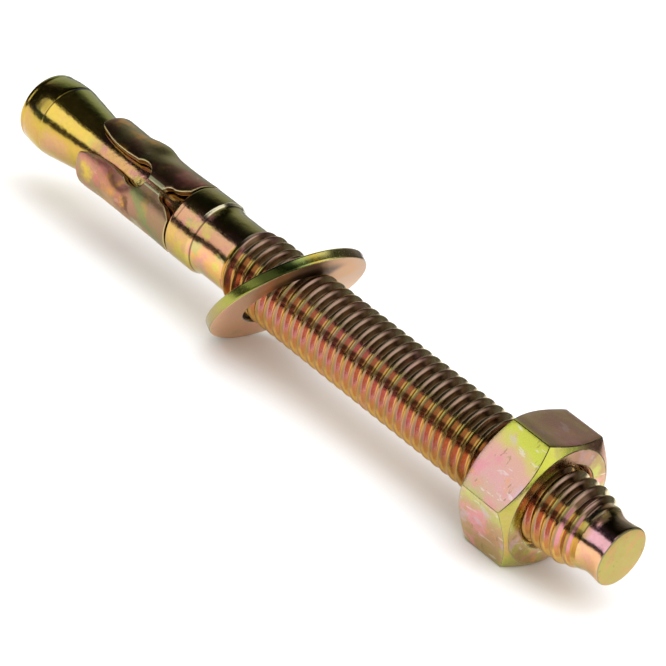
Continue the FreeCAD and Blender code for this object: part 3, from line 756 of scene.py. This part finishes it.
def makeClip():
    outside = clip["inside"] + clip["thickness"]
    pitch = 2 * math.pi * outside / clip["segments"]
    total = pitch * clip["segments"]
    lobeArc = arcPoints((0, clip["lobeEnd"] - clip["lobeRound"]), clip["lobeRound"], *clip["lobeArc"])
    bulbArc = arcPoints((0, clip["bulbFrom"] + clip["bulbRound"]), clip["bulbRound"], *clip["bulbArc"])
    rear = [(width, depth) for depth, width in clip["lobeSlot"]] + lobeArc
    front = [(width, depth) for depth, width in reversed(clip["tongueSlot"])] + bulbArc
    outline = []
    for segment in range(clip["segments"]):
        atSeam = clip["seam"] / 2 if segment == 0 else 0.0
        outline += slotSide(reversed(rear), segment * pitch, 1, atSeam)
        atSeam = clip["seam"] / 2 if segment == clip["segments"] - 1 else 0.0
        outline += slotSide(rear, (segment + 1) * pitch, -1, atSeam)
    for segment in reversed(range(clip["segments"])):
        atSeam = clip["seam"] / 2 if segment == clip["segments"] - 1 else 0.0
        outline += slotSide(reversed(front), (segment + 1) * pitch, -1, atSeam)
        atSeam = clip["seam"] / 2 if segment == 0 else 0.0
        outline += slotSide(front, segment * pitch, 1, atSeam)
    outline.append(outline[0])

    piece = drawLine("wrappedClip", outline)
    editAll()
    bpy.ops.mesh.remove_doubles(threshold=clip["weld"])
    bpy.ops.mesh.edge_face_add()
    bpy.ops.mesh.normals_make_consistent(inside=False)
    bpy.ops.mesh.extrude_region_move(TRANSFORM_OT_translate={"value": (0, 0, clip["thickness"])})
    bpy.ops.mesh.select_all(action="SELECT")
    bpy.ops.mesh.normals_make_consistent(inside=False)
    leaveEdit()

    # Worn edges round both faces of the blank
    for edge in piece.data.edges:
        ends = [piece.data.vertices[index].co.z for index in edge.vertices]
        edge.select = abs(ends[0] - ends[1]) < clip["weld"]
    bpy.ops.object.mode_set(mode="EDIT")
    bpy.ops.mesh.bevel(offset=clip["edgeRound"], segments=clip["edgeSegments"], affect="EDGES")
    for step in range(1, int(total / clip["gridAcross"])):
        bpy.ops.mesh.select_all(action="SELECT")
        bpy.ops.mesh.bisect(plane_co=(0, step * clip["gridAcross"], 0), plane_no=(0, 1, 0))
    for step in range(1, int(clip["length"] / clip["gridAlong"])):
        bpy.ops.mesh.select_all(action="SELECT")
        bpy.ops.mesh.bisect(plane_co=(-step * clip["gridAlong"], 0, 0), plane_no=(1, 0, 0))
    leaveEdit()

    addMaterials(piece, clipChromate=clipFinish, cutChromate=cutFinish, seamChromate=seamFinish,
                 wallChromate=wallFinish)
    # The faces of the strip take the clip's colours, the rounded edges a painted highlight and the cut walls
    # painted shade; the ends at the seam take a painted highlight
    for face in piece.data.polygons:
        upright = abs(face.normal.z)
        face.material_index = 0 if upright > clip["flatNormal"] else 1 if upright > clip["edgeNormal"] else 3
        fromSeam = min(face.center.y, total - face.center.y) - clip["seam"] / 2
        if fromSeam < clip["seamBright"] and clip["seamFrom"] < -face.center.x < clip["seamTo"]:
            face.material_index = 2

    # The blank is wrapped round the neck, with its flare, its lifted tips and its three bumps
    for vertex in piece.data.vertices:
        x, s, height = vertex.co
        radius = clip["inside"] + height
        radius += clip["flare"] * easy(1 + x / clip["flareLength"])
        radius += clip["tipLift"] * easy((-x - clip["length"] + clip["tipLength"]) / clip["tipLength"])
        for segment in range(clip["segments"]):
            middle = (segment + 0.5) * pitch - math.radians(clip["bumpTurn"]) * outside
            lengthways = -x - clip["bumpMiddle"]
            share = lengthways / (clip["bumpFront"] if lengthways > 0 else clip["bumpRear"])
            reach = min(math.hypot(share, (s - middle) / clip["bumpSide"]), 1.0)
            radius += clip["bumpHeight"] * (0.5 + 0.5 * math.cos(math.pi * reach))
        uneven = Vector((x * clip["unevenScale"], s * clip["unevenScale"], clip["unevenShift"]))
        radius += clip["unevenness"] * noise.noise(uneven)
        angle = math.radians(clip["roll"]) + s / outside
        vertex.co = (clip["rear"] + x, -radius * math.sin(angle), radius * math.cos(angle))
    finishPiece(piece, "clip", "expansion_clip", clip["smoothAngle"])


# Washer: a rounded section spun round, then tipped as it hangs
washer = {
    "middle": 46.2,
    "outside": 10.05,
    "bore": 5.75,
    "half": 0.7,
    "rimRound": 0.28,
    "rimSteps": 5,
    "boreRound": 0.22,
    "boreSteps": 4,
    "tilt": 31.4,
    "steps": 144,
    "faceNormal": 0.8,
    "smoothAngle": 40,
}


def makeWasher():
    half, rim, bore = washer["half"], washer["rimRound"], washer["boreRound"]
    section = arcPoints((half - rim, washer["outside"] - rim), rim, 0, 90, washer["rimSteps"])
    section += arcPoints((rim - half, washer["outside"] - rim), rim, 90, 180, washer["rimSteps"])
    section += arcPoints((bore - half, washer["bore"] + bore), bore, 180, 270, washer["boreSteps"])
    section += arcPoints((half - bore, washer["bore"] + bore), bore, 270, 360, washer["boreSteps"])
    section.append(section[0])
    piece = drawLine("tippedWasher", [(x, 0, radius) for x, radius in section])
    editAll()
    bpy.ops.mesh.spin(steps=washer["steps"], angle=2 * math.pi, center=(0, 0, 0), axis=(1, 0, 0))
    leaveEdit()
    addMaterials(piece, washerChromate=washerFinish, rimChromate=rimFinish, boreChromate=boreFinish)
    for face in piece.data.polygons:
        inBore = math.hypot(face.center.y, face.center.z) < washer["bore"] + washer["boreRound"] / 2
        face.material_index = 2 if inBore else 0 if abs(face.normal.x) > washer["faceNormal"] else 1
    tip = Matrix.Rotation(math.radians(washer["tilt"]), 4, "Y")
    piece.data.transform(Matrix.Translation((washer["middle"], 0, 0)) @ tip)
    finishPiece(piece, "washer", "washer", washer["smoothAngle"])


# Nut: a turned blank whose outer rings are then spread to the hexagon, with chamfered corners
nut = {
    "from": 84.35,
    "thickness": 7.65,
    "acrossFlats": 15.75,
    "faceRadius": 7.4,
    "chamfer": 30,
    "chamferNormal": (0.6, 0.95),
    "turnedRing": 1.0,          # the blank's outer ring starts here, before it is spread to the hexagon
    "slack": 0.01,
    "bore": 4.975,
    "countersink": 0.5,
    "faceSteps": 3,
    "flatSteps": 8,
    "turnSteps": 120,
    "edgeRound": 0.07,
    "edgeSegments": 2,
    "edgeAngle": 20,
    "smoothAngle": 28,
}


def makeNut():
    bore, outer, thickness, ring = nut["bore"], nut["acrossFlats"] / 2, nut["thickness"], nut["turnedRing"]
    slope = math.tan(math.radians(nut["chamfer"]))
    half = [(nut["countersink"], bore), (0, bore + nut["countersink"])]
    for step in range(1, nut["faceSteps"] + 1):
        share = step / nut["faceSteps"]
        half.append((0, bore + nut["countersink"] + (nut["faceRadius"] - bore - nut["countersink"]) * share))
    section = half + [(ring, outer)]
    for step in range(1, nut["flatSteps"]):
        section.append((ring + (thickness - 2 * ring) * step / nut["flatSteps"], outer))
    section += [(thickness - ring, outer)] + [(thickness - x, radius) for x, radius in reversed(half)]
    section.append(section[0])
    piece = drawLine("hexNut", [(x, 0, radius) for x, radius in section])
    editAll()
    bpy.ops.mesh.spin(steps=nut["turnSteps"], angle=2 * math.pi, center=(0, 0, 0), axis=(1, 0, 0))
    bpy.ops.mesh.select_all(action="SELECT")
    bpy.ops.mesh.remove_doubles(threshold=studLine["weld"])
    leaveEdit()
    for vertex in piece.data.vertices:
        x, y, z = vertex.co
        radius = math.hypot(y, z)
        if radius > outer - nut["slack"]:
            turn = math.atan2(y, z)
            offset = (turn + math.pi / 6) % (math.pi / 3) - math.pi / 6
            reach = outer / math.cos(offset)
            rim = (reach - nut["faceRadius"]) * slope
            share = (x - ring) / (thickness - 2 * ring)
            vertex.co = (rim + share * (thickness - 2 * rim), y * reach / radius, z * reach / radius)
    editAll()
    bpy.ops.mesh.normals_make_consistent(inside=False)
    leaveEdit()
    bpy.ops.object.modifier_add(type="BEVEL")
    bevel = piece.modifiers[-1]
    bevel.width = nut["edgeRound"]
    bevel.segments = nut["edgeSegments"]
    bevel.limit_method = "ANGLE"
    bevel.angle_limit = math.radians(nut["edgeAngle"])
    # The bevelled edges take the second material: dark lines, darker above with painted shade
    bevel.material = 1
    addMaterials(piece, nutChromate=nutFinish, nutEdgeChromate=edgeFinish, chamferChromate=chamferFinish)
    bpy.ops.object.modifier_apply(modifier=bevel.name)
    least, most = nut["chamferNormal"]
    for face in piece.data.polygons:
        if face.material_index == 0 and least < abs(face.normal.x) < most:
            face.material_index = 2
    piece.data.transform(Matrix.Translation((nut["from"], 0, 0)))
    finishPiece(piece, "nut", "hex_nut", nut["smoothAngle"])


makeStud()
makeClip()
makeWasher()
makeNut()

# Lamps
lamps = {
    "aim": (0, 0, 0.009),
    "softBox": {"towards": (-0.11, -0.89, 0.438), "distance": 0.60, "size": (0.92, 0.42), "strength": 1.0},
    "overhead": {"height": 1.2, "size": (3.0, 3.0), "strength": 1.75},
}


def addArea(name, place):
    deselect()
    bpy.ops.object.light_add(type="AREA", location=place)
    lamp = bpy.context.object
    lamp.name = name
    lamp.rotation_mode = "QUATERNION"
    lamp.rotation_quaternion = (Vector(lamps["aim"]) - place).to_track_quat("-Z", "Y")
    lamp.data.shape = "RECTANGLE"
    width, depth = lamps[name]["size"]
    lamp.data.size = width
    lamp.data.size_y = depth
    lamp.data.energy = lamps[name]["strength"] * math.pi * width * depth
    return lamp


def addLamps():
    box = lamps["softBox"]
    addArea("softBox", Vector(lamps["aim"]) + Vector(box["towards"]).normalized() * box["distance"])
    overhead = addArea("overhead", Vector((0, 0, lamps["overhead"]["height"])))
    overhead.visible_glossy = False


# Floor, with distances in metres from the middle of the anchor
ground = {
    "size": 6.0,
    "colour": "#F4F4F4",
    "rough": 0.9,
    "brightTo": 0.08,
    "darkFrom": 0.16,
    "frontBrightTo": 0.034,
    "frontDarkFrom": 0.062,
    "darkStrength": 0.04,
    "whiteFrom": 0.35,
    "whiteAll": 0.9,
}


def addFloor():
    deselect()
    bpy.ops.mesh.primitive_plane_add(size=ground["size"])
    floor = named("floor")
    material, tree = newMaterial("plainFloor")
    plain = addNode(tree, "BsdfPrincipled", {"Base Color": linear(ground["colour"]),
                                             "Roughness": ground["rough"], "Specular IOR Level": 0.0})
    place = tree.nodes.new("ShaderNodeTexCoord").outputs["Object"]
    away = lengthOf(tree, place)
    ray = tree.nodes.new("ShaderNodeLightPath")

    # In reflections the floor grows dark away from the anchor, as round a table in a dim room
    dim = rangeOf(tree, away, ground["brightTo"], ground["darkFrom"], 0.0, 1.0)
    across = separate(tree, place)[1]
    front = rangeOf(tree, across, -ground["frontDarkFrom"], -ground["frontBrightTo"], 1.0, 0.0)
    dim = maths(tree, "MULTIPLY", maths(tree, "MAXIMUM", dim, front), ray.outputs["Is Glossy Ray"])
    dark = addNode(tree, "Emission", {"Color": (1, 1, 1, 1), "Strength": ground["darkStrength"]})
    mixed = mixShader(tree, dim, plain, dark)

    # Far off, the camera sees plain white
    far = rangeOf(tree, away, ground["whiteFrom"], ground["whiteAll"], 0.0, 1.0)
    far = maths(tree, "MULTIPLY", far, ray.outputs["Is Camera Ray"])
    white = addNode(tree, "Emission", {"Color": (1, 1, 1, 1), "Strength": 1.0})
    mixed = mixShader(tree, far, mixed, white)
    tree.links.new(mixed, tree.nodes.new("ShaderNodeOutputMaterial").inputs[0])
    floor.data.materials.append(material)


# A dim room with three soft glows: behind the anchor, at the side of the nut, and above. Stretches are
# shares of the direction along the stud, across it and up.
glows = {
    "back": {"across": (-0.05, 0.45), "up": (0.45, 0.85), "strength": 0.55, "least": 0.012,
             "along": (-0.45, -0.05), "nutEnd": 0.22},
    "side": {"along": (0.42, 0.62), "strength": 0.75, "across": (0.40, 0.66), "behind": 0.16},
    "top": {"up": (0.80, 0.92), "strength": 0.9, "coneEnd": (-0.22, -0.04), "nutEnd": (0.20, 0.30)},
}


def addWorld():
    world = bpy.data.worlds.new("studio")
    bpy.context.scene.world = world
    world.use_nodes = True
    tree = world.node_tree
    tree.nodes.clear()
    along, across, up = separate(tree, tree.nodes.new("ShaderNodeTexCoord").outputs["Generated"])

    back = glows["back"]
    glow = maths(tree, "MULTIPLY", rangeOf(tree, across, *back["across"], 0.0, 1.0),
                 rangeOf(tree, up, *back["up"], 1.0, 0.0))
    glow = maths(tree, "MULTIPLY_ADD", glow, back["strength"], back["least"])
    glow = maths(tree, "MULTIPLY", glow, rangeOf(tree, along, *back["along"], 1.0, back["nutEnd"]))

    side = glows["side"]
    beside = maths(tree, "MULTIPLY", rangeOf(tree, along, *side["along"], 0.0, side["strength"]),
                   rangeOf(tree, across, *side["across"], 1.0, side["behind"]))
    glow = maths(tree, "ADD", glow, beside)

    top = glows["top"]
    middle = maths(tree, "MULTIPLY", rangeOf(tree, along, *top["coneEnd"], 0.0, 1.0),
                   rangeOf(tree, along, *top["nutEnd"], 1.0, 0.0))
    above = maths(tree, "MULTIPLY", rangeOf(tree, up, *top["up"], 0.0, top["strength"]), middle)
    glow = maths(tree, "ADD", glow, above)

    around = addNode(tree, "Background", {"Strength": glow, "Color": (1, 1, 1, 1)})
    seen = addNode(tree, "Background", {"Strength": 1.0, "Color": (1, 1, 1, 1)})
    ray = tree.nodes.new("ShaderNodeLightPath")
    mixed = mixShader(tree, ray.outputs["Is Camera Ray"], around, seen)
    tree.links.new(mixed, tree.nodes.new("ShaderNodeOutputWorld").inputs[0])


addCamera()
addLamps()
addFloor()
addWorld()
bpy.context.scene.view_settings.view_transform = "Standard"
print("camera, lamps, floor and world placed")
